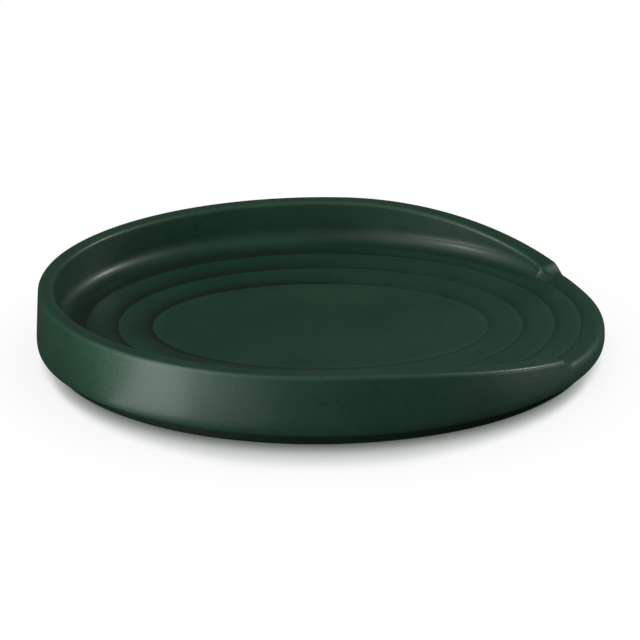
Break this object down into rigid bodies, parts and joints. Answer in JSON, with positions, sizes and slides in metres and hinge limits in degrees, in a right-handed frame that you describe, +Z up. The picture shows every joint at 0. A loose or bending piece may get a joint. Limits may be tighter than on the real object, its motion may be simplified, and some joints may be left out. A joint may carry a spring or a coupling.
{
  "type": "spoon rest",
  "caption": "Oval satin-glazed stoneware spoon rest with ring steps on its floor and a level rim that slopes down to a low open lip for the spoon's handle.",
  "frame": {"origin": "middle of the foot, on the table", "axes": "+X along the length towards the handle lip, +Y across the dish, +Z up"},
  "size_m": [0.155, 0.115, 0.0216],
  "materials": {
    "stoneware": "bare fired clay",
    "green_glaze": "satin"
  },
  "bodies": {
    "root": {"stoneware_body": "stoneware", "glaze_coat": "green_glaze", "underside_glaze": "green_glaze"}
  },
  "joints": []
}
